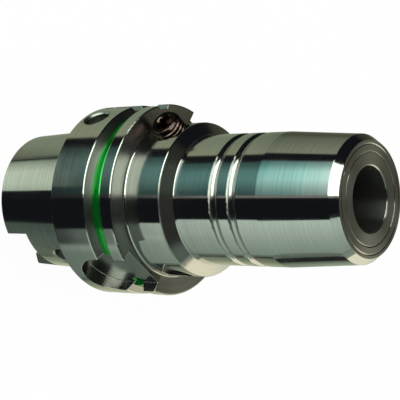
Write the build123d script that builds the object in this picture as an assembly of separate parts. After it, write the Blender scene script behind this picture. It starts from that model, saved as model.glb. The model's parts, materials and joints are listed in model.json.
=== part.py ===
"""Hydraulic expansion chuck on a 63 mm hollow taper shank.

Frame: +Z is the chuck axis, from the open end of the shank (Z = 0) to the
nose. +X points to the shallow key slot, whose opposite is the deep one.
Heights named *_Z or z below are measured from the flange contact face, as on
a shop drawing, and are lifted by SHANK_LEN when the pieces are placed.
"""

import os
from math import cos, radians, sin, sqrt, tan

from build123d import *

# --- Driving dimensions (mm) -------------------------------------------------
# hollow taper shank
SHANK_LEN = 32.0            # contact face to the open end
SHANK_GAUGE_DIA = 48.01     # taper diameter at the gauge plane
SHANK_GAUGE_Z = -6.3
SHANK_TAPER = 9.98          # 1 : 9.98 on diameter
SHANK_END_EDGE = 0.4        # bevel of the small end
UNDERCUT_WIDTH = 1.0        # relief groove beside the contact face
UNDERCUT_DEPTH = 0.35
FACE_RELIEF_WIDTH = 0.5     # relief in the contact face, outside the taper
FACE_RELIEF_DEPTH = 0.25
MOUTH_DIA = 34.0            # inner diameter at the open end
MOUTH_BEVEL = 2.6
CHAMBER_DIA = 40.0          # gripper chamber behind the clamping shoulder
SHOULDER_Z = -22.0          # start of the clamping shoulder
SHOULDER_ANGLE = 30.0
CHAMBER_FLOOR_Z = -4.0
DRIVE_SLOT_WIDTH = 12.54    # slots across the open end of the shank
DRIVE_SLOT_DEPTH = 9.6
DRIVE_SLOT_FLARE = 18.4     # width at the outside of the bevelled slot edges
ACCESS_HOLE_DIA = 7.5       # key access for manual clamping, both sides
ACCESS_HOLE_Z = -10.7

# gripper flange
FLANGE_DIA = 63.0
FLANGE_LEN = 26.0
FLANGE_EDGE = 0.5
GROOVE_Z = 18.0             # middle of the V-groove
GROOVE_RIM = 7.1            # width at the flange diameter
GROOVE_DEPTH = 4.0          # groove bottom below the flange diameter
GROOVE_ANGLE = 60.0
GROOVE_EDGE = 0.25          # bevel of the rear groove rim
KEY_SLOT_WIDTH = 18.0       # shallow slot, +X
KEY_SLOT_FLOOR = 26.7       # floor distance from the axis
FAR_SLOT_WIDTH = 16.5       # slot opposite
FAR_SLOT_FLOOR = 20.0       # its deep part, behind the front land
KEY_SLOT_END_Z = 3.7        # rounded ends stop here
NOTCH_ANGLE = -135.0        # orientation notch in the flange rim
NOTCH_DEPTH = 1.5           # floor below the flange diameter
NOTCH_WIDTH = 5.5
NOTCH_FLOOR_WIDTH = 3.6
NOTCH_END_Z = 2.6
CHIP_HOLE_ANGLE = -114.0    # blind hole in the rear land
CHIP_HOLE_DIA = 8.1
CHIP_HOLE_Z = 6.3
CHIP_HOLE_DEPTH = 4.2

# collar, front cylinder and nose
COLLAR_DIA = 50.0
COLLAR_END_Z = 40.1
COLLAR_ROUND = 0.5          # rounding of the front edge
COLLAR_ROOT = 0.12          # fillet at the flange, as a share of the step there
CONE_END_Z = 42.75          # conical step down to the front cylinder
CONE_ROOT = 0.4             # fillet where it ends
CYLINDER_DIA = 42.0
RING_GROOVES_Z = (57.84, 64.69)  # middle of the two round-bottomed grooves
RING_GROOVE_WIDTH = 2.5      # between its sharp rims, before they are rounded
RING_GROOVE_DEPTH = 0.87
RING_GROOVE_ROUND = 0.7
NOSE_START_Z = 73.9
NOSE_END_DIA = 39.2
NOSE_BEVEL = 2.6            # bevel of the nose, with a small one inside it
NOSE_BEVEL_DIA = 36.1
NOSE_EDGE = 0.45
NOSE_Z = 101.0              # contact face to the nose face
FACE_LINE_DIA = 33.0        # turned line in the nose face
FACE_LINE_WIDTH = 0.5

# expansion sleeve and its pocket
BORE_DIA = 20.0             # tool bore
SLEEVE_DIA = 28.6
POCKET_FLOOR_Z = 47.0
SLEEVE_EDGE = 0.45          # outer bevel of the sleeve face, in the joint line
OIL_GROOVE_DIA = 24.4       # bottom of the oil grooves round the sleeve
OIL_LINK_DIA = 27.2         # shallow neck that joins the two grooves
OIL_GROOVES_Z = ((54.0, 70.0), (77.0, 93.0))
BORE_EDGE = 0.35

# clamping screw, piston and oil drillings
CLAMP_OFFSET = 12.3         # screw axis to chuck axis, towards -X
CLAMP_Z = 33.0
CLAMP_SCREW_DIA = 10.0
CLAMP_PITCH = 1.5
CLAMP_SCREW_OUT = 25.6      # outer end, from the XZ plane
CLAMP_SCREW_LEN = 16.0
CLAMP_TURNS = 3.0           # from released to clamped
CLAMP_TRAVEL = CLAMP_TURNS * CLAMP_PITCH
CLAMP_TIP_DIA = 8.0         # plain tip that follows the piston into its bore
CLAMP_TIP_LEN = 5.4
CLAMP_HEX = 5.0
CLAMP_HEX_DEPTH = 6.0
SPOT_DIA = 13.8             # counterbore round the screw
SPOT_FLOOR = 18.6
PISTON_DIA = 9.0
PISTON_LEN = 6.0
PISTON_BORE_END = 9.0
BACKUP_RING = 0.8
SEAL_LEN = 2.4
OIL_DRILL_DIA = 2.0
OIL_DRILL_X, OIL_DRILL_Y = -11.0, 6.6
BLEED_ANGLE = 20.0
BLEED_SCREW_DIA = 8.0
BLEED_MOUTH_DIA = 9.8
BLEED_FLOOR = 16.0          # distance of the screw seat from the axis
BLEED_SCREW_LEN = 5.0
BLEED_BALL_DIA = 4.5
BLEED_WAY_DIA = 2.6         # way between ball seat and oil drilling
BLEED_DRILL_R = 12.8        # radius on which its oil drilling lies

# length stop
STOP_DIA = 12.0
STOP_PITCH = 1.0
STOP_LEN = 16.0
STOP_TOP_Z = 46.8           # screwed in; it rises into the bore by its travel
STOP_TURNS = 8.0
STOP_TRAVEL = STOP_TURNS * STOP_PITCH
STOP_HEX = 6.0
STOP_BORE_END_Z = 24.0
STOP_SEAL_Z = POCKET_FLOOR_Z - STOP_TRAVEL - 5.6  # its ring stays in the bore all the way
STOP_SEAL_SECTION = 1.5
COOLANT_DIA = 8.0

# coolant tube set in the shank
TUBE_DIA = 12.0
TUBE_BORE = 8.4
TUBE_END_Z = -27.0
TUBE_TOP_Z = 11.6
TUBE_COLLAR_DIA = 16.0
TUBE_COLLAR_Z = 4.6
TUBE_COLLAR_LEN = 2.0
TUBE_NECK_DIA = 11.4        # relieved inside the nut, so that the tube can tilt a little
TUBE_NECK_OUT = 0.4         # how far the neck reaches out of the nut
NUT_THREAD_DIA = 18.0
NUT_LEN = 6.2
NUT_BORE = 12.6
NUT_SLOT = 3.0
TUBE_SEAL_SECTION = 1.9
SEAT_Z = 8.5                # body step behind the front seal ring

# colour ring in the V-groove
RING_THICKNESS = 1.5        # above the groove bottom, at its edges
RING_CROWN = 0.5

# clearances
THREAD_GAP = 0.05           # radial, screws that turn
PISTON_GAP = 0.03           # radial, piston in its bore

SEAL_SIDES = 12             # flats round the section of a seal ring
BIG = 80.0                  # longer than any cut has to be


# --- Helpers -----------------------------------------------------------------
def turned(profile, rounds=(), grooves=()):
    """Solid of revolution about Z from (radius, z) points.

    grooves holds (centre point, radius) pairs of round-bottomed grooves, and
    rounds holds (corner point, radius) pairs of the corners to be rounded.
    """
    section = Sketch() + make_face(Polyline(*profile, close=True))
    for centre, radius in grooves:
        section -= Pos(*centre) * Circle(radius)
    for corner, radius in rounds:
        vertex = section.vertices().sort_by_distance((*corner, 0))[0]
        section = fillet(vertex, radius)
    return revolve(Plane.XZ * section, Axis.Z)


def lift(shape):
    """Move a shape from contact-face heights to the part frame."""
    return Pos(0, 0, SHANK_LEN) * shape


def radial(angle, z):
    """Location on the axis at height z, whose local +Z points outwards."""
    return Location((0, 0, z)) * Rot(0, 0, angle) * Rot(0, 90, 0)


def drill(dia, start, end):
    """Cylinder along local +Z from start to end."""
    return Pos(0, 0, start) * Cylinder(dia / 2, end - start,
                                       align=(Align.CENTER, Align.CENTER, Align.MIN))


def cone(dia_low, dia_high, start, end):
    """Truncated cone along local +Z."""
    return Pos(0, 0, start) * Cone(dia_low / 2, dia_high / 2, end - start,
                                   align=(Align.CENTER, Align.CENTER, Align.MIN))


def block(x0, x1, y0, y1, z0, z1):
    """Axis-parallel box between the given limits."""
    return Pos((x0 + x1) / 2, (y0 + y1) / 2, (z0 + z1) / 2) * Box(x1 - x0, y1 - y0, z1 - z0)


def prism(points, z0, z1):
    """Polygon in XY, extruded from z0 to z1."""
    return extrude(Pos(0, 0, z0) * make_face(Polyline(*points, close=True)), z1 - z0)


def hexagon(across, start, end):
    """Hexagonal prism along local +Z."""
    return extrude(Pos(0, 0, start) * RegularPolygon(across / 2, 6, major_radius=False),
                   end - start)


def seal_ring(mean_radius, section, z):
    """Seal ring about Z, its round section drawn as a polygon."""
    corner = section / 2 / cos(radians(180 / SEAL_SIDES))
    angles = [radians(360 * (i + 0.5) / SEAL_SIDES) for i in range(SEAL_SIDES)]
    return turned([(mean_radius + corner * cos(a), z + corner * sin(a)) for a in angles])


def shank_radius(z):
    """Outer radius of the taper at height z."""
    return (SHANK_GAUGE_DIA + (z - SHANK_GAUGE_Z) / SHANK_TAPER) / 2


# --- Chuck body --------------------------------------------------------------
R_FLANGE = FLANGE_DIA / 2
R_GROOVE = R_FLANGE - GROOVE_DEPTH
R_COLLAR = COLLAR_DIA / 2
R_CYL = CYLINDER_DIA / 2
GROOVE_HALF = GROOVE_RIM / 2
GROOVE_FLOOR_HALF = GROOVE_HALF - (R_FLANGE - R_GROOVE) * tan(radians(GROOVE_ANGLE / 2))


def face_line():
    """V-shaped line turned into the nose face."""
    middle, half = FACE_LINE_DIA / 2, FACE_LINE_WIDTH / 2
    return turned([(middle, NOSE_Z - half), (middle + 2 * half, NOSE_Z + half),
                   (middle - 2 * half, NOSE_Z + half)])


def body_outside():
    """Turned outer form, still solid."""
    relief = shank_radius(0) + FACE_RELIEF_WIDTH
    flange_corner, root_corner = (R_FLANGE, FLANGE_LEN), (R_COLLAR, FLANGE_LEN)
    collar_corner, cone_corner = (R_COLLAR, COLLAR_END_Z), (R_CYL, CONE_END_Z)
    root = (R_FLANGE - R_COLLAR) * COLLAR_ROOT
    half = RING_GROOVE_WIDTH / 2
    bottom = (half ** 2 / RING_GROOVE_DEPTH + RING_GROOVE_DEPTH) / 2
    points = [(0, -SHANK_LEN),
              (shank_radius(-SHANK_LEN) - SHANK_END_EDGE, -SHANK_LEN),
              (shank_radius(-SHANK_LEN + SHANK_END_EDGE), -SHANK_LEN + SHANK_END_EDGE),
              (shank_radius(-UNDERCUT_WIDTH - UNDERCUT_DEPTH), -UNDERCUT_WIDTH - UNDERCUT_DEPTH),
              (shank_radius(0) - UNDERCUT_DEPTH, -UNDERCUT_WIDTH),
              (shank_radius(0) - UNDERCUT_DEPTH, FACE_RELIEF_DEPTH),
              (relief, FACE_RELIEF_DEPTH), (relief, 0),
              (R_FLANGE - FLANGE_EDGE, 0), (R_FLANGE, FLANGE_EDGE),
              (R_FLANGE, GROOVE_Z - GROOVE_HALF - GROOVE_EDGE / 2),
              (R_FLANGE - GROOVE_EDGE,
               GROOVE_Z - GROOVE_HALF + GROOVE_EDGE * tan(radians(GROOVE_ANGLE / 2))),
              (R_GROOVE, GROOVE_Z - GROOVE_FLOOR_HALF),
              (R_GROOVE, GROOVE_Z + GROOVE_FLOOR_HALF),
              (R_FLANGE, GROOVE_Z + GROOVE_HALF),
              flange_corner, root_corner, collar_corner, cone_corner,
              (R_CYL, NOSE_START_Z), (NOSE_END_DIA / 2, NOSE_Z - NOSE_BEVEL),
              (NOSE_BEVEL_DIA / 2, NOSE_Z - NOSE_EDGE),
              (NOSE_BEVEL_DIA / 2 - NOSE_EDGE * 0.7, NOSE_Z), (0, NOSE_Z)]
    rims = [((R_CYL, z + side), RING_GROOVE_ROUND)
            for z in RING_GROOVES_Z for side in (-half, half)]
    outside = turned(
        points, rounds=rims + [(flange_corner, FLANGE_EDGE), (root_corner, root),
                               (collar_corner, COLLAR_ROUND), (cone_corner, CONE_ROOT)],
        grooves=[((R_CYL - RING_GROOVE_DEPTH + bottom, z), bottom) for z in RING_GROOVES_Z])
    return outside - face_line()


def body_inside():
    """Turned cavity: gripper chamber, coolant way, stop thread and pocket."""
    shoulder = (CHAMBER_DIA - MOUTH_DIA) / 2 / tan(radians(SHOULDER_ANGLE))
    shank = turned([
        (0, -SHANK_LEN - 1), (MOUTH_DIA / 2 + MOUTH_BEVEL + 1, -SHANK_LEN - 1),
        (MOUTH_DIA / 2, -SHANK_LEN + MOUTH_BEVEL), (MOUTH_DIA / 2, SHOULDER_Z),
        (CHAMBER_DIA / 2, SHOULDER_Z + shoulder), (CHAMBER_DIA / 2, CHAMBER_FLOOR_Z),
        (0, CHAMBER_FLOOR_Z)])
    way = turned([
        (0, CHAMBER_FLOOR_Z - 1), (NUT_THREAD_DIA / 2, CHAMBER_FLOOR_Z - 1),
        (NUT_THREAD_DIA / 2, SEAT_Z), (TUBE_DIA / 2 + 0.4, SEAT_Z),
        (TUBE_DIA / 2 + 0.4, TUBE_TOP_Z + 0.6), (COOLANT_DIA / 2, TUBE_TOP_Z + 2.6),
        (COOLANT_DIA / 2, STOP_BORE_END_Z - 1), (STOP_DIA / 2, STOP_BORE_END_Z + 1),
        (STOP_DIA / 2, POCKET_FLOOR_Z), (SLEEVE_DIA / 2, POCKET_FLOOR_Z),
        (SLEEVE_DIA / 2, NOSE_Z + 1), (0, NOSE_Z + 1)])
    return shank + way


def drive_slot():
    """One slot across the open end, on +X, with bevelled outer edges."""
    half, flare = DRIVE_SLOT_WIDTH / 2, DRIVE_SLOT_FLARE / 2
    outer = shank_radius(-SHANK_LEN)
    x_flare = sqrt(outer ** 2 - flare ** 2)
    x_start = x_flare - (flare - half) * 0.75
    slope = (flare - half) / (x_flare - x_start)
    wide = half + slope * (BIG / 2 - x_start)
    top = -SHANK_LEN + DRIVE_SLOT_DEPTH
    return prism([(8, -half), (x_start, -half), (BIG / 2, -wide), (BIG / 2, wide),
                  (x_start, half), (8, half)], -SHANK_LEN - 1, top)


def key_slot(width, floor, end_z, front_z):
    """Round-ended slot on +X, open towards front_z."""
    radius = width / 2
    centre = end_z + radius
    mill = radial(0, centre) * drill(width, floor, BIG)
    return mill + block(floor, BIG, -radius, radius, centre, front_z)


def notch():
    """Orientation notch along the flange rim."""
    grow = (NOTCH_WIDTH - NOTCH_FLOOR_WIDTH) / 2
    floor, outside = R_FLANGE - NOTCH_DEPTH, R_FLANGE + NOTCH_DEPTH
    half, top = NOTCH_FLOOR_WIDTH / 2, NOTCH_FLOOR_WIDTH / 2 + 2 * grow
    shape = prism([(floor, -half), (outside, -top), (outside, top), (floor, half)],
                  NOTCH_END_Z, FLANGE_LEN + 1)
    return Rot(0, 0, NOTCH_ANGLE) * shape


def chip_hole():
    """Blind hole in the rear land, with a bevelled rim."""
    place = radial(CHIP_HOLE_ANGLE, CHIP_HOLE_Z)
    floor = R_FLANGE - CHIP_HOLE_DEPTH
    rim = cone(CHIP_HOLE_DIA, CHIP_HOLE_DIA + 4, R_FLANGE - 0.75, R_FLANGE + 1.25)
    return place * (drill(CHIP_HOLE_DIA, floor, BIG) + cone(2, CHIP_HOLE_DIA, floor - 1.1, floor)
                    + rim)


def access_holes():
    """Key access holes through the shank wall, both sides."""
    edge = shank_radius(ACCESS_HOLE_Z)
    tool = drill(ACCESS_HOLE_DIA, CHAMBER_DIA / 2 - 4, BIG)
    tool += cone(ACCESS_HOLE_DIA, ACCESS_HOLE_DIA + 4, edge - 0.75, edge + 1.25)
    return radial(0, ACCESS_HOLE_Z) * tool + radial(180, ACCESS_HOLE_Z) * tool


def clamp_frame(z=CLAMP_Z):
    """Location of the screw axis, local +Z outwards (towards -Y)."""
    return Location((-CLAMP_OFFSET, 0, z)) * Rot(90, 0, 0)


def clamp_thread_low():
    """Inner end of the screw's thread when released, from the XZ plane."""
    return CLAMP_SCREW_OUT - CLAMP_SCREW_LEN + CLAMP_TIP_LEN


def clamp_bores():
    """Counterbore, thread and piston bore along the screw axis."""
    thread_end = clamp_thread_low() - CLAMP_TRAVEL - 0.6
    tool = drill(SPOT_DIA, SPOT_FLOOR, BIG)
    tool += drill(CLAMP_SCREW_DIA, thread_end, SPOT_FLOOR + 1)
    tool += cone(CLAMP_SCREW_DIA, CLAMP_SCREW_DIA + 1.6, SPOT_FLOOR - 0.8, SPOT_FLOOR)
    tool += drill(PISTON_DIA, -PISTON_BORE_END, thread_end + 1)
    tool += cone(1.0, PISTON_DIA, -PISTON_BORE_END - 1.6, -PISTON_BORE_END)
    return clamp_frame() * tool


def bleed_bores():
    """Threaded hole, ball seat and cross drilling of the bleed port."""
    tool = drill(BLEED_SCREW_DIA, BLEED_FLOOR, BIG)
    tool += cone(BLEED_SCREW_DIA, BLEED_MOUTH_DIA + 2, R_COLLAR - 1.4, R_COLLAR + 0.8)
    tool += drill(BLEED_BALL_DIA + 0.1, BLEED_FLOOR - 1.4, BLEED_FLOOR + 1)
    tool += cone(BLEED_WAY_DIA, BLEED_BALL_DIA + 0.1, BLEED_FLOOR - 2.6, BLEED_FLOOR - 1.4)
    tool += drill(BLEED_WAY_DIA, BLEED_DRILL_R - 1.6, BLEED_FLOOR)
    return radial(BLEED_ANGLE, CLAMP_Z) * tool


def oil_drillings(low, high):
    """Axial oil drillings of the piston side and the bleed side."""
    bleed = Rot(0, 0, BLEED_ANGLE) * Pos(BLEED_DRILL_R, 0, 0)
    return (Pos(OIL_DRILL_X, OIL_DRILL_Y, 0) * drill(OIL_DRILL_DIA, low, high)
            + bleed * drill(OIL_DRILL_DIA, low, high))


def chuck_body():
    """The one-piece turned and milled holder."""
    body = body_outside() - body_inside()
    body -= drive_slot()
    body -= Rot(0, 0, 180) * drive_slot()
    body -= key_slot(KEY_SLOT_WIDTH, KEY_SLOT_FLOOR, KEY_SLOT_END_Z, FLANGE_LEN)
    body -= Rot(0, 0, 180) * key_slot(FAR_SLOT_WIDTH, KEY_SLOT_FLOOR, KEY_SLOT_END_Z, FLANGE_LEN)
    deep_end = GROOVE_Z + GROOVE_HALF + 0.6
    body -= Rot(0, 0, 180) * key_slot(FAR_SLOT_WIDTH, FAR_SLOT_FLOOR, KEY_SLOT_END_Z, deep_end)
    body -= notch()
    body -= chip_hole()
    body -= access_holes()
    body -= clamp_bores()
    body -= bleed_bores()
    body -= oil_drillings(CLAMP_Z, POCKET_FLOOR_Z + 1)
    return body


# --- Expansion sleeve --------------------------------------------------------
def expansion_sleeve():
    """Thin-walled sleeve with two oil grooves round it."""
    (a0, a1), (b0, b1) = OIL_GROOVES_Z
    outer, low, link = SLEEVE_DIA / 2, OIL_GROOVE_DIA / 2, OIL_LINK_DIA / 2
    slope = 0.8
    sleeve = turned([
        (BORE_DIA / 2, POCKET_FLOOR_Z), (outer, POCKET_FLOOR_Z),
        (outer, a0), (low, a0 + slope), (low, a1 - slope), (link, a1),
        (link, b0), (low, b0 + slope), (low, b1 - slope), (outer, b1),
        (outer, NOSE_Z - SLEEVE_EDGE), (outer - SLEEVE_EDGE, NOSE_Z),
        (BORE_DIA / 2 + BORE_EDGE, NOSE_Z), (BORE_DIA / 2, NOSE_Z - BORE_EDGE)])
    return sleeve - oil_drillings(POCKET_FLOOR_Z - 1, a0 + slope + 0.4)


# --- Clamping screw, piston and bleed port -----------------------------------
def clamping_screw():
    """Socket set screw that pushes the piston, in its released position."""
    radius = CLAMP_SCREW_DIA / 2 - THREAD_GAP
    inner, outer = CLAMP_SCREW_OUT - CLAMP_SCREW_LEN, CLAMP_SCREW_OUT
    tip, low = CLAMP_TIP_DIA / 2, clamp_thread_low()
    screw = turned([(0, inner), (tip - 0.6, inner), (tip, inner + 0.6), (tip, low),
                    (radius - 0.7, low), (radius, low + 0.7),
                    (radius, outer - 0.9), (radius - 0.8, outer), (0, outer)])
    screw -= hexagon(CLAMP_HEX, outer - CLAMP_HEX_DEPTH, outer + 1)
    screw -= cone(CLAMP_HEX - 0.4, CLAMP_HEX + 1.9, outer - 0.75, outer + 0.4)
    screw -= cone(0.6, CLAMP_HEX, outer - CLAMP_HEX_DEPTH - 1.2, outer - CLAMP_HEX_DEPTH)
    return clamp_frame() * screw


def piston_stack():
    """Outer ends (from the XZ plane) of piston, backup ring and seal."""
    top = CLAMP_SCREW_OUT - CLAMP_SCREW_LEN
    return top, top - PISTON_LEN, top - PISTON_LEN - BACKUP_RING


def pressure_piston():
    """Hardened piston pushed by the screw, with a spigot for its seal."""
    radius = PISTON_DIA / 2 - PISTON_GAP
    top, ring, seal = piston_stack()
    spigot = seal - SEAL_LEN + 0.4
    return clamp_frame() * turned([
        (0, spigot), (1.7, spigot), (2.0, spigot + 0.3), (2.0, ring), (radius - 0.3, ring),
        (radius, ring + 0.3), (radius, top - 0.5), (radius - 0.5, top), (0, top)])


def piston_backup_ring():
    """Hard plastic ring behind the seal."""
    radius = PISTON_DIA / 2 - PISTON_GAP
    _, ring, seal = piston_stack()
    return clamp_frame() * turned([(2.0, seal), (radius, seal), (radius, ring), (2.0, ring)])


def piston_seal():
    """Elastomer cup seal on the pressure side."""
    radius = PISTON_DIA / 2 - PISTON_GAP
    _, _, seal = piston_stack()
    low = seal - SEAL_LEN
    return clamp_frame() * turned([
        (2.0, low + 0.5), (2.7, low + 0.9), (3.6, low + 0.9), (radius - 0.2, low),
        (radius, low + 0.2), (radius, seal), (2.0, seal)])


def bleed_ball():
    """Ball that closes the bleed port."""
    seat = BLEED_FLOOR - 1.4 + BLEED_BALL_DIA / 2
    return radial(BLEED_ANGLE, CLAMP_Z) * Pos(0, 0, seat) * Sphere(BLEED_BALL_DIA / 2)


def bleed_screw():
    """Set screw that holds the ball on its seat."""
    start = BLEED_FLOOR - 1.4 + BLEED_BALL_DIA
    end = start + BLEED_SCREW_LEN
    radius = BLEED_SCREW_DIA / 2
    screw = turned([(0, start), (radius - 0.7, start), (radius, start + 0.7),
                    (radius, end - 0.7), (radius - 0.7, end), (0, end)])
    screw -= hexagon(4.0, end - 3.0, end + 1)
    return radial(BLEED_ANGLE, CLAMP_Z) * screw


# --- Length stop -------------------------------------------------------------
def length_stop_screw():
    """Hollow set screw that the tool shank rests on."""
    radius = STOP_DIA / 2 - THREAD_GAP
    low, high = STOP_TOP_Z - STOP_LEN, STOP_TOP_Z
    half = STOP_SEAL_SECTION / 2
    screw = turned([
        (0, low), (radius - 0.8, low), (radius, low + 0.8),
        (radius, STOP_SEAL_Z - half), (radius - STOP_SEAL_SECTION, STOP_SEAL_Z - half),
        (radius - STOP_SEAL_SECTION, STOP_SEAL_Z + half), (radius, STOP_SEAL_Z + half),
        (radius, high - 0.8), (radius - 0.8, high), (0, high)])
    screw -= hexagon(STOP_HEX, high - 5.0, high + 1)
    return screw - drill(4.0, low - 1, high)


def stop_seal_ring():
    """Seal ring round the length stop."""
    section = STOP_SEAL_SECTION
    return seal_ring(STOP_DIA / 2 - THREAD_GAP - section / 2, section, STOP_SEAL_Z)


# --- Coolant tube set --------------------------------------------------------
def nut_low():
    """Open face of the union nut, towards the shank end."""
    return TUBE_COLLAR_Z - TUBE_SEAL_SECTION - NUT_LEN


def coolant_tube():
    """Transfer tube with the collar it is held by."""
    outer, inner, collar = TUBE_DIA / 2, TUBE_BORE / 2, TUBE_COLLAR_DIA / 2
    neck, neck_end = TUBE_NECK_DIA / 2, nut_low() - TUBE_NECK_OUT
    return turned([
        (inner, TUBE_END_Z), (outer - 0.8, TUBE_END_Z), (outer, TUBE_END_Z + 1.6),
        (outer, neck_end), (neck, neck_end + outer - neck),
        (neck, TUBE_COLLAR_Z), (collar, TUBE_COLLAR_Z),
        (collar, TUBE_COLLAR_Z + TUBE_COLLAR_LEN), (outer, TUBE_COLLAR_Z + TUBE_COLLAR_LEN),
        (outer, TUBE_TOP_Z - 0.5), (outer - 0.5, TUBE_TOP_Z), (inner, TUBE_TOP_Z)])


def coolant_union_nut():
    """Slotted ring nut that holds the tube collar in the body."""
    low = nut_low()
    top = low + NUT_LEN
    radius = NUT_THREAD_DIA / 2
    nut = turned([(NUT_BORE / 2, low), (radius - 0.8, low), (radius, low + 0.8),
                  (radius, top - 0.8), (radius - 0.8, top), (NUT_BORE / 2, top)])
    for angle in (0, 90):
        nut -= Rot(0, 0, angle) * block(-BIG, BIG, -NUT_SLOT / 2, NUT_SLOT / 2, low - 1, low + 2.2)
    return nut


def tube_seal(z):
    """One of the seal rings on either side of the tube collar."""
    return seal_ring((TUBE_DIA / 2 + NUT_THREAD_DIA / 2) / 2, TUBE_SEAL_SECTION, z)


# --- Colour ring -------------------------------------------------------------
def colour_ring_arc(side):
    """Coloured inlay in the groove bottom, on the +Y or -Y side of the slots."""
    top = R_GROOVE + RING_THICKNESS
    half = GROOVE_FLOOR_HALF + (top - R_GROOVE) * tan(radians(GROOVE_ANGLE / 2))
    band = turned([
        (R_GROOVE, GROOVE_Z - GROOVE_FLOOR_HALF), (top, GROOVE_Z - half),
        (top + RING_CROWN * 0.75, GROOVE_Z - half * 0.5), (top + RING_CROWN, GROOVE_Z),
        (top + RING_CROWN * 0.75, GROOVE_Z + half * 0.5), (top, GROOVE_Z + half),
        (R_GROOVE, GROOVE_Z + GROOVE_FLOOR_HALF)])
    near, far = KEY_SLOT_WIDTH / 2, FAR_SLOT_WIDTH / 2
    band -= block(0, BIG, -near, near, 0, FLANGE_LEN)
    band -= block(-BIG, 0, -far, far, 0, FLANGE_LEN)
    keep = block(-BIG, BIG, 0, BIG, 0, FLANGE_LEN)
    return band & (keep if side > 0 else Rot(0, 0, 180) * keep)


# --- Export ------------------------------------------------------------------
def nodes():
    """Every named node of the chuck, in the part frame."""
    seal = TUBE_SEAL_SECTION / 2
    return {
        "chuck_body": chuck_body(),
        "expansion_sleeve": expansion_sleeve(),
        "clamping_screw": clamping_screw(),
        "pressure_piston": pressure_piston(),
        "piston_backup_ring": piston_backup_ring(),
        "piston_seal": piston_seal(),
        "bleed_ball": bleed_ball(),
        "bleed_screw": bleed_screw(),
        "length_stop_screw": length_stop_screw(),
        "stop_seal_ring": stop_seal_ring(),
        "coolant_tube": coolant_tube(),
        "coolant_union_nut": coolant_union_nut(),
        "tube_seal_front": tube_seal(TUBE_COLLAR_Z + TUBE_COLLAR_LEN + seal),
        "tube_seal_rear": tube_seal(TUBE_COLLAR_Z - seal),
        "colour_ring_left": colour_ring_arc(1),
        "colour_ring_right": colour_ring_arc(-1),
    }


def main():
    """Build the chuck and write one STEP file per node."""
    os.makedirs("parts", exist_ok=True)
    for name, shape in nodes().items():
        placed = lift(shape)
        placed.label = name
        export_step(placed, f"parts/{name}.step")
        solids = placed.solids()
        print(f"{name:20s} solids {len(solids)}  volume {sum(s.volume for s in solids):10.1f} mm3")


if __name__ == "__main__":
    main()
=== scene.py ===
"""Looks of the hydraulic chuck.

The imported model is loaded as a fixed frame, its nodes get the finishes of the
real parts, the clamping screw gets its cut thread, and a small studio with a
floor, cards, lamps and the camera is set up round it. Lengths are in metres
and angles in degrees unless a name says otherwise.
"""

import json
import logging
import math
from dataclasses import dataclass, field
from enum import Enum
from typing import Any, Optional

import bpy
from mathutils import Matrix, Vector

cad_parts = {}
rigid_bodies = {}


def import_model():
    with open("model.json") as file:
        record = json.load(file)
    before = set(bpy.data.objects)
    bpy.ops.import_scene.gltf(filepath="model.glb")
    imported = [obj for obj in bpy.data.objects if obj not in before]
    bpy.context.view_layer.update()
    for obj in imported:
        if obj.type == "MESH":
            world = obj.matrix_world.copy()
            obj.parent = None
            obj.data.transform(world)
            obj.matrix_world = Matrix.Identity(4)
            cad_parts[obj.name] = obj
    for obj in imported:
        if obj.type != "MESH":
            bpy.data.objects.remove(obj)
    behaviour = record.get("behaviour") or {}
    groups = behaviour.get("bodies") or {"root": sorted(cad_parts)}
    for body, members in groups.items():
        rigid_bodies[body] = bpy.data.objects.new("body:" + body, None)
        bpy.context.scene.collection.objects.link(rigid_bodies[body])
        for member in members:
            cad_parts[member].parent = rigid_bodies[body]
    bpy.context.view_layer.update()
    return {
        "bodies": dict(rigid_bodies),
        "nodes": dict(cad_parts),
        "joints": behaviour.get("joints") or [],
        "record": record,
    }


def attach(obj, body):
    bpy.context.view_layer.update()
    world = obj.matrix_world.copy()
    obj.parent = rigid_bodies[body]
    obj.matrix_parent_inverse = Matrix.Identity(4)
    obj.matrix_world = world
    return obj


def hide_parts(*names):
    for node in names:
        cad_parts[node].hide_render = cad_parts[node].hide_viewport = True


LOG = logging.getLogger("chuck")
MM = 0.001


# --- Small helpers -----------------------------------------------------------
def linear(colour: str) -> tuple[float, float, float, float]:
    """Turn an sRGB hex colour into a linear one.

    Args:
        colour: the colour as "#RRGGBB".

    Returns:
        Linear red, green, blue and an alpha of 1.
    """
    parts = [int(colour[i:i + 2], 16) / 255 for i in (1, 3, 5)]
    tones = [c / 12.92 if c <= 0.04045 else ((c + 0.055) / 1.055) ** 2.4 for c in parts]
    return (*tones, 1.0)


def add_node(tree: bpy.types.NodeTree, kind: str, inputs: Optional[dict] = None,
             **settings: Any) -> bpy.types.Node:
    """Add one node with its settings, values and links.

    Args:
        tree: the node tree that gets it.
        kind: the node's type name.
        inputs: socket name or number, with a value or the output linked to it.
        settings: the node's own properties.

    Returns:
        The new node.
    """
    node = tree.nodes.new(kind)
    for key, value in settings.items():
        setattr(node, key, value)
    for key, value in (inputs or {}).items():
        socket = node.inputs[key]
        if isinstance(value, bpy.types.NodeSocket):
            tree.links.new(value, socket)
        else:
            socket.default_value = value
    return node


def set_ramp(node: bpy.types.Node, stops: list[tuple[float, str]]) -> None:
    """Give a colour ramp its stops.

    Args:
        node: the colour ramp node.
        stops: place from 0 to 1 and sRGB hex colour of each stop.
    """
    elements = node.color_ramp.elements
    while len(elements) < len(stops):
        elements.new(0.5)
    for element, (place, colour) in zip(elements, stops):
        element.position = place
        element.color = linear(colour)


def select_only(piece: bpy.types.Object) -> None:
    """Make a piece the active one, with nothing else selected."""
    bpy.ops.object.select_all(action="DESELECT")
    piece.select_set(True)
    bpy.context.view_layer.objects.active = piece


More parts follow.
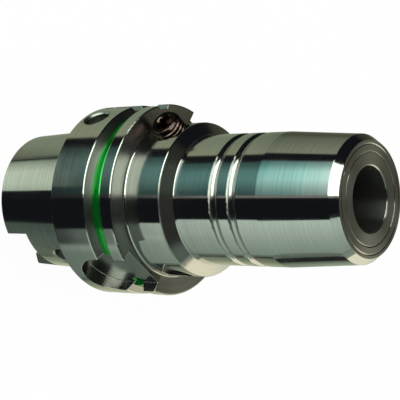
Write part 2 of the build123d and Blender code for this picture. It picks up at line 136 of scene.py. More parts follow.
# --- Finishes ----------------------------------------------------------------
@dataclass(frozen=True)
class Finish:
    """What every finish has: a name, a colour and how sharp it mirrors."""

    name: str
    colour: str
    roughness: float

    def start(self) -> tuple[bpy.types.Material, bpy.types.NodeTree, bpy.types.Node]:
        """Make the material with one shader.

        Returns:
            The material, its node tree and its shader node.
        """
        material = bpy.data.materials.new(self.name)
        material.use_nodes = True
        tree = material.node_tree
        tree.nodes.clear()
        shader = add_node(tree, "ShaderNodeBsdfPrincipled", {
            "Base Color": linear(self.colour), "Roughness": self.roughness})
        add_node(tree, "ShaderNodeOutputMaterial", {"Surface": shader.outputs["BSDF"]})
        material.diffuse_color = linear(self.colour)
        return material, tree, shader

    def make(self) -> bpy.types.Material:
        """Make the material. Each kind of finish adds its own detail."""
        return self.start()[0]


@dataclass(frozen=True)
class TurnedSteel(Finish):
    """Steel that was turned or ground round its own axis.

    The tool leaves fine rings, so a reflection is drawn out along the axis
    and stays sharp round it, and the rings themselves show as faint lines.
    Where the surface isn't one of revolution it was milled, and its finish
    is even and duller. Milled surfaces, the flange's faces and the walls of
    holes are darkened with painted shade, and sharp edges get back the full
    tone as a painted highlight. These tones are no property of steel: they
    were set to match the photograph. The places in mm are this chuck's own
    and don't follow a change of its sizes.
    """

    spread: float = 0.85      # how much longer the reflection is along the axis
    ring_pitch: float = 0.5   # mm, coarser than the real 0.05 mm, to show at this size
    ring_depth: float = 2.3   # micrometres
    ring_slope: float = -0.6  # how far the rings follow the radius, which parts them on faces
    ring_wander: float = 12.0      # per metre, how fast the rings change round the axis
    cloud_scale: float = 70.0      # per metre, of the duller clouds
    bands: tuple[float, ...] = ()  # mm, heights of narrow grooves, a little duller
    band_half: float = 1.35   # mm, half the height of one
    band_dull: float = 0.35   # how far towards a face's finish
    face_roughness: float = 0.3    # of faces across the axis, turned with a coarser feed
    milled_roughness: float = 0.32
    slot_roughness: float = 0.2
    milled_shade_keep: float = 0.6       # share of the colour that milled surfaces keep under the painted shade
    face_shade_keep: float = 0.7         # the same for the flange's turned faces
    face_from: float = 25.2        # mm, radius from which a face is the flange's
    # share of the normal along the axis, where a face starts and where it is full
    face_limits: tuple[float, float] = (0.835, 0.865)
    # share of the normal round the axis, the same for a milled surface
    milled_limits: tuple[float, float] = (0.02, 0.04)
    # the key slots in mm: middle and half of their reach in y, in z and in radius
    slot_box: tuple[tuple[float, float], ...] = ((0.0, 9.04), (46.8, 11.21), (23.0, 8.4))
    # walls of drilled holes, darkened with painted shade: middle and reach in mm, share of the
    # colour taken off
    shaded_holes: tuple[tuple[tuple[float, float, float], float, float], ...] = (
        ((-11.96, -26.86, 38.3), 4.6, 0.35), ((22.08, 8.04, 65.0), 5.8, 0.97))
    hole_rim: float = 1.3     # mm, how far past its middle a hole's wall gets the painted shade
    edge: float = 0.25        # mm, how far the sharp edges are broken in shading, which also places the painted edge highlight
    slot_edge: float = 0.4    # the same round the key slots
    # cosine between broken and true normal, where the painted edge highlight starts and where it
    # is full
    edge_limits: tuple[float, float] = (0.985, 0.93)
    stain: str = "#C4C4C0"    # tone of the duller rings
    metallic: float = 1.0     # a little lower where a film of oil scatters light

    def make(self) -> bpy.types.Material:
        """Make turned steel.

        Returns:
            The material.
        """
        material, tree, shader = self.start()
        place = add_node(tree, "ShaderNodeTexCoord")
        split = add_node(tree, "ShaderNodeSeparateXYZ", {0: place.outputs["Object"]})
        round_xy = add_node(tree, "ShaderNodeCombineXYZ", {0: split.outputs[0],
                                                           1: split.outputs[1]})
        radius = add_node(tree, "ShaderNodeVectorMath", {0: round_xy.outputs[0]},
                          operation="LENGTH")
        across, milled, slot = self.regions(tree, place.outputs["Normal"], split,
                                            round_xy.outputs[0], radius.outputs["Value"])
        # rings follow the height on cylinders and the radius on faces
        along = add_node(tree, "ShaderNodeMath", {
            0: radius.outputs["Value"], 1: self.ring_slope, 2: split.outputs[2]},
            operation="MULTIPLY_ADD")
        scale = 1 / (self.ring_pitch * MM)
        ringed = add_node(tree, "ShaderNodeCombineXYZ", {
            0: add_node(tree, "ShaderNodeMath", {0: split.outputs[0], 1: self.ring_wander},
                        operation="MULTIPLY").outputs[0],
            1: add_node(tree, "ShaderNodeMath", {0: split.outputs[1], 1: self.ring_wander},
                        operation="MULTIPLY").outputs[0],
            2: add_node(tree, "ShaderNodeMath", {0: along.outputs[0], 1: scale},
                        operation="MULTIPLY").outputs[0]})
        rings = add_node(tree, "ShaderNodeTexNoise", {
            "Vector": ringed.outputs[0], "Scale": 1.0, "Detail": 2.0, "Roughness": 0.65})
        reach = add_node(tree, "ShaderNodeMix", {
            0: slot, 2: self.edge * MM, 3: self.slot_edge * MM})
        broken = add_node(tree, "ShaderNodeBevel", {"Radius": reach.outputs[0]}, samples=8)
        true_normal = add_node(tree, "ShaderNodeNewGeometry").outputs["Normal"]
        bent = add_node(tree, "ShaderNodeVectorMath", {0: broken.outputs[0], 1: true_normal},
                        operation="DOT_PRODUCT")
        off_edge, full_edge = self.edge_limits
        edge_highlight = add_node(tree, "ShaderNodeMapRange", {
            0: bent.outputs["Value"], "From Min": off_edge, "From Max": full_edge})
        bump = add_node(tree, "ShaderNodeBump", {
            "Height": rings.outputs["Fac"], "Distance": self.ring_depth * 1e-6,
            "Strength": add_node(tree, "ShaderNodeMath", {0: 1.0, 1: milled},
                                 operation="SUBTRACT").outputs[0],
            "Normal": broken.outputs[0]})
        tree.links.new(bump.outputs["Normal"], shader.inputs["Normal"])
        tone = add_node(tree, "ShaderNodeValToRGB", {0: rings.outputs["Fac"]})
        set_ramp(tone, [(0.3, self.stain), (0.6, self.colour)])
        # painted shade: the walls of the drilled holes are darkened
        hole_shade = self.paint_hole_shade(tree, place.outputs["Object"], radius.outputs["Value"])
        # painted shade: the flange's faces and the milled surfaces are darkened, which dims their
        # reflection
        outside = add_node(tree, "ShaderNodeMath", {
            0: radius.outputs["Value"], 1: self.face_from * MM}, operation="GREATER_THAN")
        on_face = add_node(tree, "ShaderNodeMath", {0: across, 1: outside.outputs[0]},
                           operation="MULTIPLY")
        plain = add_node(tree, "ShaderNodeMix", {0: on_face.outputs[0], 2: 1.0, 3: self.face_shade_keep})
        shaded_tone = add_node(tree, "ShaderNodeMix", {
            0: milled, 2: plain.outputs[0], 3: self.milled_shade_keep})
        # painted highlight: sharp edges get back the full tone
        with_edge_highlight = add_node(tree, "ShaderNodeMix", {
            0: edge_highlight.outputs[0], 2: shaded_tone.outputs[0], 3: 1.0})
        keep = add_node(tree, "ShaderNodeMix", {0: hole_shade, 2: with_edge_highlight.outputs[0], 3: 0.0})
        shade = add_node(tree, "ShaderNodeVectorMath", {
            0: tone.outputs["Color"], "Scale": keep.outputs[0]}, operation="SCALE")
        tree.links.new(shade.outputs[0], shader.inputs["Base Color"])
        clouds = add_node(tree, "ShaderNodeTexNoise", {
            "Vector": place.outputs["Object"], "Scale": self.cloud_scale, "Detail": 3.0})
        rough = add_node(tree, "ShaderNodeMapRange", {
            0: clouds.outputs["Fac"], "From Min": 0.3, "From Max": 0.7,
            "To Min": self.roughness * 0.85, "To Max": self.roughness * 1.2})
        facing = add_node(tree, "ShaderNodeMix", {
            0: across, 2: rough.outputs["Result"], 3: self.face_roughness})
        cutter = add_node(tree, "ShaderNodeMix", {
            0: slot, 2: self.milled_roughness, 3: self.slot_roughness})
        either = add_node(tree, "ShaderNodeMix", {
            0: milled, 2: facing.outputs[0], 3: cutter.outputs[0]})
        tree.links.new(either.outputs[0], shader.inputs["Roughness"])
        tangent = add_node(tree, "ShaderNodeTangent", direction_type="RADIAL", axis="Z")
        tree.links.new(tangent.outputs["Tangent"], shader.inputs["Tangent"])
        spread = add_node(tree, "ShaderNodeMix", {0: milled, 2: self.spread, 3: 0.0})
        tree.links.new(spread.outputs[0], shader.inputs["Anisotropic"])
        shader.inputs["Metallic"].default_value = self.metallic
        shader.inputs["Anisotropic Rotation"].default_value = 0.25
        return material

    def regions(self, tree: bpy.types.NodeTree, normal: bpy.types.NodeSocket,
                place: bpy.types.Node, round_xy: bpy.types.NodeSocket,
                radius: bpy.types.NodeSocket
                ) -> tuple[bpy.types.NodeSocket, bpy.types.NodeSocket, bpy.types.NodeSocket]:
        """Tell faces across the axis and milled surfaces from turned ones.

        Args:
            tree: the material's nodes.
            normal: the surface normal in the piece's own frame.
            place: the node that gives x, y and z.
            round_xy: the place without its height.
            radius: the distance from the axis.

        Returns:
            Three masks: 1 on faces across the axis, on milled surfaces and in the key slots.
        """
        split = add_node(tree, "ShaderNodeSeparateXYZ", {0: normal})
        steep = add_node(tree, "ShaderNodeMath", {0: split.outputs[2]}, operation="ABSOLUTE")
        first, full = self.face_limits
        across = add_node(tree, "ShaderNodeMapRange", {
            0: steep.outputs[0], "From Min": first, "From Max": full}).outputs[0]
        for height in self.bands:
            near = add_node(tree, "ShaderNodeMath", {
                0: place.outputs[2], 1: height * MM, 2: self.band_half * MM}, operation="COMPARE")
            dull = add_node(tree, "ShaderNodeMath", {0: near.outputs[0], 1: self.band_dull},
                            operation="MULTIPLY")
            across = add_node(tree, "ShaderNodeMath", {0: across, 1: dull.outputs[0]},
                              operation="MAXIMUM").outputs[0]
        # a turned surface's normal lies in the plane of the axis and the place
        side = add_node(tree, "ShaderNodeVectorMath", {
            0: add_node(tree, "ShaderNodeVectorMath", {0: round_xy},
                        operation="NORMALIZE").outputs[0], 1: normal},
            operation="CROSS_PRODUCT")
        sideways = add_node(tree, "ShaderNodeSeparateXYZ", {0: side.outputs[0]})
        off = add_node(tree, "ShaderNodeMath", {0: sideways.outputs[2]}, operation="ABSOLUTE")
        first, full = self.milled_limits
        milled = add_node(tree, "ShaderNodeMapRange", {
            0: off.outputs[0], "From Min": first, "From Max": full}).outputs[0]
        inside = 1.0
        for value, (middle, half) in zip((place.outputs[1], place.outputs[2], radius),
                                         self.slot_box):
            near = add_node(tree, "ShaderNodeMath", {
                0: value, 1: middle * MM, 2: half * MM}, operation="COMPARE")
            inside = add_node(tree, "ShaderNodeMath", {0: inside, 1: near.outputs[0]},
                              operation="MULTIPLY").outputs[0]
        either = add_node(tree, "ShaderNodeMath", {0: milled, 1: inside}, operation="MAXIMUM")
        return across, either.outputs[0], inside

    def paint_hole_shade(self, tree: bpy.types.NodeTree, place: bpy.types.NodeSocket,
                      radius: bpy.types.NodeSocket) -> bpy.types.NodeSocket:
        """Darken the walls of the drilled holes with painted shade.

        Args:
            tree: the material's nodes.
            place: the place in the piece's own frame.
            radius: its distance from the axis.

        Returns:
            The share of the colour that the painted shade takes off, 0 outside the holes.
        """
        found = 0.0
        for middle, reach, shade_share in self.shaded_holes:
            away = add_node(tree, "ShaderNodeVectorMath", {
                0: place, 1: Vector(middle) * MM}, operation="DISTANCE")
            rim = Vector(middle[:2]).length + self.hole_rim
            near = add_node(tree, "ShaderNodeMath", {0: away.outputs["Value"], 1: reach * MM},
                            operation="LESS_THAN")
            under = add_node(tree, "ShaderNodeMath", {0: radius, 1: rim * MM},
                             operation="LESS_THAN")
            both = add_node(tree, "ShaderNodeMath", {0: near.outputs[0], 1: under.outputs[0]},
                            operation="MULTIPLY")
            found = add_node(tree, "ShaderNodeMath", {0: both.outputs[0], 1: shade_share, 2: found},
                             operation="MULTIPLY_ADD").outputs[0]
        return found


@dataclass(frozen=True)
class PlainSteel(Finish):
    """Steel with an even finish: polished, blasted or oxide blackened.

    Its mirror is cloudy in the same way in every direction, with slightly
    duller patches where oil and hands have been.
    """

    worn: str = "#8A8A88"     # tone where the finish is rubbed
    patch: float = 6.0        # mm, size of the duller patches
    grain: float = 0.15       # mm, size of the fine unevenness
    grain_depth: float = 0.4  # micrometres

    def make(self) -> bpy.types.Material:
        """Make evenly finished steel.

        Returns:
            The material.
        """
        material, tree, shader = self.start()
        place = add_node(tree, "ShaderNodeTexCoord")
        patches = add_node(tree, "ShaderNodeTexNoise", {
            "Vector": place.outputs["Object"], "Scale": 1 / (self.patch * MM),
            "Detail": 4.0, "Roughness": 0.6})
        tone = add_node(tree, "ShaderNodeValToRGB", {0: patches.outputs["Fac"]})
        set_ramp(tone, [(0.45, self.colour), (0.75, self.worn)])
        tree.links.new(tone.outputs["Color"], shader.inputs["Base Color"])
        rough = add_node(tree, "ShaderNodeMapRange", {
            0: patches.outputs["Fac"], "From Min": 0.3, "From Max": 0.7,
            "To Min": self.roughness * 0.8, "To Max": self.roughness * 1.25})
        tree.links.new(rough.outputs["Result"], shader.inputs["Roughness"])
        fine = add_node(tree, "ShaderNodeTexNoise", {
            "Vector": place.outputs["Object"], "Scale": 1 / (self.grain * MM), "Detail": 1.0})
        bump = add_node(tree, "ShaderNodeBump", {
            "Height": fine.outputs["Fac"], "Distance": self.grain_depth * 1e-6})
        tree.links.new(bump.outputs["Normal"], shader.inputs["Normal"])
        shader.inputs["Metallic"].default_value = 1.0
        return material


@dataclass(frozen=True)
class Moulded(Finish):
    """Rubber, hard plastic or lacquer: a colour under a clear, even gloss."""

    dark: str = "#000000"     # tone of the darker flecks
    fleck: float = 1.0        # mm, size of the flecks
    grain_depth: float = 3.0  # micrometres of surface unevenness
    ior: float = 1.5
    coat: float = 0.0         # clear coat over the colour
    metallic: float = 0.0     # above 0 where bright metal shows through the colour

    def make(self) -> bpy.types.Material:
        """Make a moulded or lacquered finish.

        Returns:
            The material.
        """
        material, tree, shader = self.start()
        place = add_node(tree, "ShaderNodeTexCoord")
        flecks = add_node(tree, "ShaderNodeTexNoise", {
            "Vector": place.outputs["Object"], "Scale": 1 / (self.fleck * MM), "Detail": 3.0})
        tone = add_node(tree, "ShaderNodeValToRGB", {0: flecks.outputs["Fac"]})
        set_ramp(tone, [(0.3, self.dark), (0.65, self.colour)])
        tree.links.new(tone.outputs["Color"], shader.inputs["Base Color"])
        bump = add_node(tree, "ShaderNodeBump", {
            "Height": flecks.outputs["Fac"], "Distance": self.grain_depth * 1e-6})
        tree.links.new(bump.outputs["Normal"], shader.inputs["Normal"])
        shader.inputs["IOR"].default_value = self.ior
        shader.inputs["Coat Weight"].default_value = self.coat
        shader.inputs["Metallic"].default_value = self.metallic
        return material


# case-hardened steel, ground on the outside: bright, with fine rings
GROUND_STEEL = TurnedSteel("ground_hardened_steel", "#D0D0CD", 0.1, bands=(89.84, 96.69))
# honed bore sleeve: finer rings and a duller face
HONED_STEEL = TurnedSteel("honed_sleeve_steel", "#C6C6C3", 0.2, ring_depth=1.0, stain="#BABAB5",
                          metallic=0.985)
# black oxide on a set screw: dark brown-black, oily, brighter where rubbed
BLACK_OXIDE = PlainSteel("black_oxide_steel", "#574543", 0.18, worn="#A08A84", patch=0.5)
# the same, darkened with painted shade for the pieces in the dark of a bore
SHADED_OXIDE = PlainSteel("shaded_oxide_steel", "#1C1B1B", 0.35, worn="#2A2827", patch=2.0)
# lapped piston and ball: a clean mirror
LAPPED_STEEL = PlainSteel("lapped_bearing_steel", "#D4D4D4", 0.08, worn="#C8C8C8")
# drawn tube: soft satin gloss
DRAWN_STEEL = PlainSteel("drawn_stainless_steel", "#B9B7B0", 0.3, worn="#AAA8A0")
# nitrile seals: deep black with a waxy gloss
NITRILE = Moulded("nitrile_rubber", "#1B1B1C", 0.45, dark="#0F0F10", ior=1.52)
# white acetal ring behind the seal: milky, slightly waxy
ACETAL = Moulded("white_acetal", "#E4E2DA", 0.35, dark="#D6D3C8", ior=1.48)
# thin green lacquer, mostly metallic so that it mirrors the studio in its own colour
GREEN_LACQUER = Moulded("green_lacquer", "#1E9E3A", 0.14, dark="#178E30", coat=0.1,
                        metallic=0.85)


# --- Sub-assemblies ----------------------------------------------------------
@dataclass
class SubAssembly:
    """Pieces of one body of the chuck and the finish that each one has."""

    frame: dict
    finishes: dict[str, bpy.types.Material]

    def dress(self, node: str, finish: Finish) -> bpy.types.Object:
        """Give a CAD node its finish.

        Args:
            node: name of the node.
            finish: the finish that it gets.

        Returns:
            The node's object.
        """
        piece = self.frame["nodes"][node]
        piece.data.materials.clear()
        piece.data.materials.append(self.material(finish))
        LOG.info("%s: %s", node, finish.name)
        return piece

    def material(self, finish: Finish) -> bpy.types.Material:
        """Return a finish's material, made once."""
        if finish.name not in self.finishes:
            self.finishes[finish.name] = finish.make()
        return self.finishes[finish.name]

    def build(self) -> None:
        """Build and dress the pieces."""
        raise NotImplementedError


@dataclass
class Holder(SubAssembly):
    """The chuck body with all that is fixed in it."""

    def build(self) -> None:
        """Dress body, sleeve, bleed port, coolant set and colour rings."""
        self.dress("chuck_body", GROUND_STEEL)
        self.dress("expansion_sleeve", HONED_STEEL)
        self.dress("bleed_ball", LAPPED_STEEL)
        self.dress("bleed_screw", SHADED_OXIDE)
        self.dress("coolant_tube", DRAWN_STEEL)
        self.dress("coolant_union_nut", DRAWN_STEEL)
        for ring in ("tube_seal_front", "tube_seal_rear"):
            self.dress(ring, NITRILE)
        for ring in ("colour_ring_left", "colour_ring_right"):
            self.dress(ring, GREEN_LACQUER)


@dataclass
class Piston(SubAssembly):
    """The pressure piston with its backup ring and seal."""

    def build(self) -> None:
        """Dress the three pieces."""
        self.dress("pressure_piston", LAPPED_STEEL)
        self.dress("piston_backup_ring", ACETAL)
        self.dress("piston_seal", NITRILE)


@dataclass
class ClampingScrew(SubAssembly):
    """The set screw that drives the piston, with its cut thread."""

    # on the screw's axis, beside the chuck's
    centre: Vector = field(default_factory=lambda: Vector((-12.3, 0, 65)) * MM)
    major: float = 4.95 * MM       # radius of the crests
    root: float = 4.08 * MM        # radius of the groove's bottom
    pitch: float = 1.5 * MM
    crest: float = 0.19 * MM       # width of the flat left between grooves
    flank_angle: float = 30.0
    thread_low: float = 15.0 * MM  # inner end of the thread, from the middle
    run_out: float = 0.4           # share of a pitch that the groove starts below it
    overshoot: float = 0.08 * MM   # how far the cutter reaches past the crests
    turns: int = 9
    turn_steps: int = 48
    weld: float = 1e-6             # metres, corners nearer than this are merged
    smooth_angle: float = 25.0

    def groove_profile(self) -> list[tuple[float, float]]:
        """Section of the cut groove.

        Returns:
            Radius and height of its four corners.
        """
        flank = (self.major - self.root) * math.tan(math.radians(self.flank_angle))
        beyond = self.overshoot * math.tan(math.radians(self.flank_angle))
        bottom = self.pitch - self.crest - 2 * flank
        wide = self.major + self.overshoot
        return [(wide, 0), (self.root, flank + beyond),
                (self.root, flank + beyond + bottom),
                (wide, 2 * (flank + beyond) + bottom)]

    def groove(self) -> bpy.types.Object:
        """Make the helical shape that is cut out of the screw.

        Returns:
            The cutter, along +Z from the origin.
        """
        corners = [Vector((r, 0, z)) for r, z in self.groove_profile()]
        bpy.ops.object.select_all(action="DESELECT")
        bpy.ops.mesh.primitive_plane_add(size=MM, location=(0, 0, 0))
        cutter = bpy.context.active_object
        cutter.name = "thread_cutter"
        bpy.ops.object.mode_set(mode="EDIT")
        bpy.ops.mesh.select_all(action="SELECT")
        bpy.ops.mesh.merge(type="CENTER")
        bpy.ops.transform.translate(value=corners[0])
        for here, there in zip(corners, corners[1:]):
            bpy.ops.mesh.extrude_vertices_move(
                TRANSFORM_OT_translate={"value": there - here})
        bpy.ops.mesh.select_all(action="SELECT")
        bpy.ops.mesh.edge_face_add()
        bpy.ops.mesh.delete(type="ONLY_FACE")
        bpy.ops.object.mode_set(mode="OBJECT")
        sweep = cutter.modifiers.new("sweep", "SCREW")
        sweep.axis = "Z"
        sweep.angle = math.tau
        sweep.screw_offset = self.pitch
        sweep.iterations = self.turns
        sweep.steps = sweep.render_steps = self.turn_steps
        sweep.use_merge_vertices = True
        select_only(cutter)
        bpy.ops.object.modifier_apply(modifier="sweep")
        bpy.ops.object.mode_set(mode="EDIT")
        bpy.ops.mesh.select_all(action="DESELECT")
        bpy.ops.mesh.select_mode(type="EDGE")
        bpy.ops.mesh.select_non_manifold()
        bpy.ops.mesh.fill_holes(sides=8)
        bpy.ops.mesh.select_all(action="SELECT")
        bpy.ops.mesh.normals_make_consistent(inside=False)
        bpy.ops.object.mode_set(mode="OBJECT")
        return cutter

    def build(self) -> None:
        """Cut the thread into a copy of the screw and let it ride."""
        blank = self.frame["nodes"]["clamping_screw"]
        screw = blank.copy()
        screw.data = blank.data.copy()
        screw.name = "clamping_screw_threaded"
        screw.parent = None
        for key in list(screw.keys()):
            del screw[key]
        bpy.context.scene.collection.objects.link(screw)
        select_only(screw)
        bpy.ops.mesh.customdata_custom_splitnormals_clear()
        bpy.ops.object.mode_set(mode="EDIT")
        bpy.ops.mesh.select_all(action="SELECT")
        bpy.ops.mesh.remove_doubles(threshold=self.weld)
        bpy.ops.mesh.normals_make_consistent(inside=False)
        bpy.ops.object.mode_set(mode="OBJECT")
        cutter = self.groove()
        place = Matrix.Translation(self.centre) @ Matrix.Rotation(math.pi / 2, 4, "X")
        start = Matrix.Translation((0, 0, self.thread_low - self.pitch * self.run_out))
        cutter.data.transform(place @ start)
        cut = screw.modifiers.new("thread", "BOOLEAN")
        cut.operation = "DIFFERENCE"
        cut.solver = "EXACT"
        cut.object = cutter
        select_only(screw)
        bpy.ops.object.modifier_apply(modifier="thread")
        bpy.data.objects.remove(cutter)
        bpy.ops.object.shade_smooth_by_angle(angle=math.radians(self.smooth_angle))
        screw.data.materials.clear()
        screw.data.materials.append(self.material(BLACK_OXIDE))
        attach(screw, "clamp_screw")
        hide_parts("clamping_screw")
        LOG.info("clamping screw: thread cut, %d faces", len(screw.data.polygons))


@dataclass
class LengthStop(SubAssembly):
    """The hollow stop screw under the tool shank, with its seal ring."""

    def build(self) -> None:
        """Dress the two pieces."""
        self.dress("length_stop_screw", SHADED_OXIDE)
        self.dress("stop_seal_ring", NITRILE)


# --- Studio ------------------------------------------------------------------
class Along(Enum):
    """The direction in which a card's tone changes."""

    TURN = 0
    HEIGHT = 1


@dataclass(frozen=True)
class Card:
    """One patch of light or dark round the chuck, as the steel mirrors it.

    turn and height are its limits as seen from the chuck, in degrees round
    the axis and above the horizon. tones are (degrees, colour) stops, and
    fade holds (degrees round the axis, grey) stops that dim them. name is a
    label for the patch, and soft_turn and soft_height blur its edges.
    """

    name: str
    turn: tuple[float, float]
    height: tuple[float, float]
    tones: tuple[tuple[float, str], ...]
    along: Along = Along.TURN
    strength: float = 1.0
    soft_turn: float = 0.6
    soft_height: float = 1.0
    fade: tuple[tuple[float, str], ...] = ()


# Most of these tones were read off the photograph: medians of its colours by
# the direction that the steel mirrors, rounded, and some of them then changed
# by comparing points. They weren't chosen freely. How they were made is an
# open fault.
CARDS = (
    Card("back wall", (90, 165), (24, 62), ((90, "#5A584B"),), soft_turn=8, soft_height=4),
    Card("far ceiling", (-150, -75), (55, 80), ((0, "#444B44"),), soft_turn=15, soft_height=8),
    Card("cloth fold", (118, 172), (-26, 12),
         ((125, "#7C7E73"), (148, "#4D5044"), (165, "#3C3C35")), soft_turn=6, soft_height=5),
    Card("cloth top", (77, 222.5), (-34, -20),
         ((78, "#657361"), (90, "#95A38F"), (110, "#B1BCA4"), (135, "#959989"), (150, "#5F6052"),
          (165, "#555948"), (180, "#717967"), (222, "#939B86")), soft_turn=1.2, soft_height=5),
    Card("olive cloth", (66, 222.5), (-95, -34),
         ((66, "#89937C"), (80, "#96A189"), (95, "#BDC4A4"), (118, "#BFC5AD"), (140, "#959E86"),
          (150, "#89937C"), (170, "#86937C"), (190, "#8E9982"), (222, "#9EA68B")),
         soft_turn=1.5, soft_height=2),
    Card("cloth foot", (-12, 230), (-95, -47.4),
         ((-15, "#4C5C54"), (30, "#69796C"), (50, "#818E79"), (78, "#89977E"), (95, "#A2AD95"),
          (118, "#B5BDA8"), (140, "#9BA38F"), (150, "#8E9985"), (190, "#88927D"),
          (205, "#7C8571"), (222, "#6C7465")), soft_turn=1.0, soft_height=1.5),
    Card("window", (-121, -61), (-46, 46),
         ((-46, "#222E2F"), (-42.8, "#253435"), (-41.6, "#47635D"), (-40, "#486A67"),
          (-35, "#3F605D"), (-31, "#4A7A78"), (-29, "#4E9894"), (-28, "#50ACA6"),
          (-27, "#92C6BB"), (-24.5, "#D3DDD6"), (-22, "#EDF0ED")),
         along=Along.HEIGHT, strength=2.0, soft_turn=1.0,
         fade=((-121, "#959595"), (-112, "#C4C4C4"), (-101, "#FFFFFF"), (-88, "#FFFFFF"),
               (-75, "#CECECE"), (-66, "#A6A6A6"), (-61, "#9E9E9E"))),
    Card("window head", (-121, -61), (-18, 47), ((0, "#E2EEDD"),), strength=3.2, soft_turn=1.0,
         soft_height=5),
    Card("low pale card", (-131, -71.5), (-95, -46.5),
         ((-131, "#9BAA95"), (-122, "#BCCEB6"), (-108, "#E2F1DA"), (-97, "#E2F1DA"),
          (-86, "#DDEFD8"), (-72, "#C4D4BF")), soft_turn=1.0),
    Card("window post", (-61, -57), (-39.5, 60), ((0, "#898985"),), soft_turn=0.8),
    Card("side panel", (-19.5, 62), (-41.0, 40),
         ((-18, "#CEE2D3"), (0, "#BFD1C3"), (20, "#AABDAF"), (45, "#95A89A"), (60, "#8B9B8E")),
         soft_turn=0.6, soft_height=0.4),
    Card("side panel corner", (3, 16), (-44, -40), ((-7, "#C4D4C8"), (10, "#ACBCAF")),
         soft_turn=5, soft_height=0.8),
    Card("side panel end", (8, 62), (-45.5, -40), ((10, "#7E8E82"), (60, "#76857A")),
         soft_turn=8, soft_height=1.2),
    Card("side panel top", (-24, 60), (39, 52), ((0, "#616E65"),), soft_turn=4, soft_height=4),
    Card("cream card", (59.5, 116), (-24, 35),
         ((60, "#C8C4AF"), (90, "#C0BDA8"), (112, "#9A9F8F")),
         strength=2.0, soft_turn=1.2, soft_height=2),
)


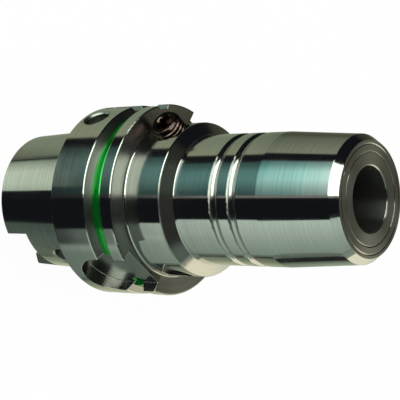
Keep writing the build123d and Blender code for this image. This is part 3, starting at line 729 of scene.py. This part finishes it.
@dataclass
class Studio:
    """Cards all round, a floor and soft lamps.

    Only the camera sees the white background and the floor's glow. The steel
    mirrors the cards, and neither the floor nor the lamps.
    """

    seam: float = -135.0           # where the angle round the axis starts again
    dark: str = "#17191D"          # where there is no card
    ceiling: str = "#353532"
    ceiling_height: tuple[float, float] = (46, 99)
    ceiling_soft: float = 4.0
    floor_colour: str = "#F4F4F2"
    floor_glow: float = 0.96       # share of plain white in what the camera sees of the floor
    floor_size: float = 6.0
    aim: tuple[float, float, float] = (0, 0, 0.07)
    # name, place, size in metres and power in watts
    lamps: tuple[tuple[str, tuple[float, float, float], float, float], ...] = (
        ("key", (0.45, -0.75, 0.8), 0.7, 5.0),
        ("overhead", (0.0, 0.0, 1.2), 0.9, 5.0),
        ("fill", (-0.9, 0.2, 0.6), 0.8, 3.0))

    def mask(self, tree: bpy.types.NodeTree, value: bpy.types.NodeSocket,
             limits: tuple[float, float], soft: float) -> bpy.types.NodeSocket:
        """Make a soft-edged window on one angle.

        Args:
            tree: the world's nodes.
            value: the angle.
            limits: where the window starts and ends.
            soft: half the width of its soft edges.

        Returns:
            1 inside the window and 0 outside.
        """
        low, high = limits
        rise = add_node(tree, "ShaderNodeMapRange", {
            0: value, "From Min": low - soft, "From Max": low + soft},
            interpolation_type="SMOOTHSTEP")
        fall = add_node(tree, "ShaderNodeMapRange", {
            0: value, "From Min": high - soft, "From Max": high + soft,
            "To Min": 1.0, "To Max": 0.0}, interpolation_type="SMOOTHSTEP")
        return add_node(tree, "ShaderNodeMath", {
            0: rise.outputs[0], 1: fall.outputs[0]}, operation="MULTIPLY").outputs[0]

    def world(self) -> None:
        """Set the cards up as the world, white where the camera looks past the chuck."""
        world = bpy.data.worlds.new("studio")
        bpy.context.scene.world = world
        world.use_nodes = True
        tree = world.node_tree
        tree.nodes.clear()
        view = add_node(tree, "ShaderNodeTexCoord")
        split = add_node(tree, "ShaderNodeSeparateXYZ", {0: view.outputs["Generated"]})
        angle = add_node(tree, "ShaderNodeMath", {0: split.outputs[1], 1: split.outputs[0]},
                         operation="ARCTAN2")
        degrees = add_node(tree, "ShaderNodeMath", {0: angle.outputs[0]}, operation="DEGREES")
        turn = add_node(tree, "ShaderNodeMath", {
            0: degrees.outputs[0], 1: self.seam, 2: self.seam + 360}, operation="WRAP")
        tilt = add_node(tree, "ShaderNodeMath", {0: split.outputs[2]}, operation="ARCSINE")
        height = add_node(tree, "ShaderNodeMath", {0: tilt.outputs[0]}, operation="DEGREES")
        base = add_node(tree, "ShaderNodeMix", {
            0: self.mask(tree, height.outputs[0], self.ceiling_height, self.ceiling_soft),
            6: linear(self.dark), 7: linear(self.ceiling)}, data_type="RGBA")
        light = base.outputs[2]
        for card in CARDS:
            light = self.lay(tree, light, card, turn.outputs[0], height.outputs[0])
        rays = add_node(tree, "ShaderNodeLightPath")
        seen = add_node(tree, "ShaderNodeMix", {
            0: rays.outputs["Is Camera Ray"], 6: light, 7: (1.0, 1.0, 1.0, 1.0)},
            data_type="RGBA")
        back = add_node(tree, "ShaderNodeBackground", {"Color": seen.outputs[2]})
        add_node(tree, "ShaderNodeOutputWorld", {"Surface": back.outputs[0]})
        LOG.info("studio: %d cards", len(CARDS))

    def lay(self, tree: bpy.types.NodeTree, light: bpy.types.NodeSocket, card: Card,
            turn: bpy.types.NodeSocket, height: bpy.types.NodeSocket) -> bpy.types.NodeSocket:
        """Lay one card over the light so far.

        Args:
            tree: the world's nodes.
            light: the light so far.
            card: the card.
            turn: the angle round the axis.
            height: the angle above the horizon.

        Returns:
            The light with the card in it.
        """
        run = turn if card.along is Along.TURN else height
        first, last = card.tones[0][0], card.tones[-1][0]
        span = max(last - first, 1.0)
        place = add_node(tree, "ShaderNodeMapRange", {
            0: run, "From Min": first, "From Max": first + span})
        tone = add_node(tree, "ShaderNodeValToRGB", {0: place.outputs[0]})
        stops = [((at - first) / span, colour) for at, colour in card.tones]
        set_ramp(tone, stops if len(stops) > 1 else stops + [(1.0, stops[0][1])])
        colour = tone.outputs[0]
        if card.fade:
            start, end = card.fade[0][0], card.fade[-1][0]
            dim = add_node(tree, "ShaderNodeValToRGB", {0: add_node(
                tree, "ShaderNodeMapRange", {0: turn, "From Min": start, "From Max": end}
            ).outputs[0]})
            set_ramp(dim, [((at - start) / (end - start), grey) for at, grey in card.fade])
            colour = add_node(tree, "ShaderNodeVectorMath", {0: colour, 1: dim.outputs[0]},
                              operation="MULTIPLY").outputs[0]
        lit = add_node(tree, "ShaderNodeVectorMath", {
            0: colour, "Scale": card.strength}, operation="SCALE")
        cover = add_node(tree, "ShaderNodeMath", {
            0: self.mask(tree, turn, card.turn, card.soft_turn),
            1: self.mask(tree, height, card.height, card.soft_height)}, operation="MULTIPLY")
        mix = add_node(tree, "ShaderNodeMix", {
            0: cover.outputs[0], 6: light, 7: lit.outputs[0]}, data_type="RGBA",
            clamp_result=False)
        return mix.outputs[2]

    def floor(self) -> None:
        """Lay the floor that the shank end stands on, nearly plain white to the camera."""
        bpy.ops.object.select_all(action="DESELECT")
        bpy.ops.mesh.primitive_plane_add(size=self.floor_size)
        floor = bpy.context.active_object
        floor.name = "floor"
        material = bpy.data.materials.new("white_floor")
        material.use_nodes = True
        tree = material.node_tree
        tree.nodes.clear()
        paper = add_node(tree, "ShaderNodeBsdfDiffuse", {"Color": linear(self.floor_colour)})
        glow = add_node(tree, "ShaderNodeEmission", {"Color": (1.0, 1.0, 1.0, 1.0)})
        rays = add_node(tree, "ShaderNodeLightPath")
        share = add_node(tree, "ShaderNodeMath", {
            0: rays.outputs["Is Camera Ray"], 1: self.floor_glow}, operation="MULTIPLY")
        mix = add_node(tree, "ShaderNodeMixShader", {
            0: share.outputs[0], 1: paper.outputs[0], 2: glow.outputs[0]})
        add_node(tree, "ShaderNodeOutputMaterial", {"Surface": mix.outputs[0]})
        floor.data.materials.append(material)
        floor.visible_glossy = False
        LOG.info("floor: %.1f m", self.floor_size)

    def light(self) -> None:
        """Hang the soft lamps, which steel doesn't mirror."""
        for name, place, size, power in self.lamps:
            data = bpy.data.lights.new(name, "AREA")
            data.shape = "DISK"
            data.size = size
            data.energy = power
            lamp = bpy.data.objects.new(name, data)
            bpy.context.scene.collection.objects.link(lamp)
            aim = Vector(self.aim) - Vector(place)
            lamp.matrix_world = (Matrix.Translation(place)
                                 @ aim.to_track_quat("-Z", "Y").to_matrix().to_4x4())
            lamp.visible_glossy = False
            LOG.info("lamp %s: %.1f W", name, power)

    def build(self) -> None:
        """Build the whole studio."""
        self.world()
        self.floor()
        self.light()


@dataclass
class Viewpoint:
    """The camera, where the photographer's stood."""

    place: Vector = field(default_factory=lambda: Vector((202.111, -282.512, 338.962)) * MM)
    right: Vector = field(default_factory=lambda: Vector((-0.355514, 0.500247, 0.789533)))
    ahead: Vector = field(default_factory=lambda: Vector((-0.459159, 0.642291, -0.613706)))
    lens: float = 121.834     # mm
    sensor: float = 36.0      # mm
    nearest: float = 0.01

    def build(self) -> None:
        """Set the camera up."""
        data = bpy.data.cameras.new("camera")
        data.lens = self.lens
        data.sensor_width = self.sensor
        data.clip_start = self.nearest
        camera = bpy.data.objects.new("camera", data)
        bpy.context.scene.collection.objects.link(camera)
        ahead = self.ahead.normalized()
        right = (self.right - ahead * self.right.dot(ahead)).normalized()
        above = right.cross(ahead)
        turn = Matrix((right, above, -ahead)).transposed().to_4x4()
        camera.matrix_world = Matrix.Translation(self.place) @ turn
        bpy.context.scene.camera = camera
        LOG.info("camera: %.1f mm lens", self.lens)


def main() -> None:
    """Dress the chuck and set its studio up."""
    logging.basicConfig(level=logging.INFO, format="%(name)s: %(message)s")
    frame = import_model()
    finishes: dict[str, bpy.types.Material] = {}
    for kind in (Holder, Piston, ClampingScrew, LengthStop):
        kind(frame, finishes).build()
    Studio().build()
    Viewpoint().build()
    bpy.context.scene.view_settings.view_transform = "Standard"


if __name__ == "__main__":
    main()
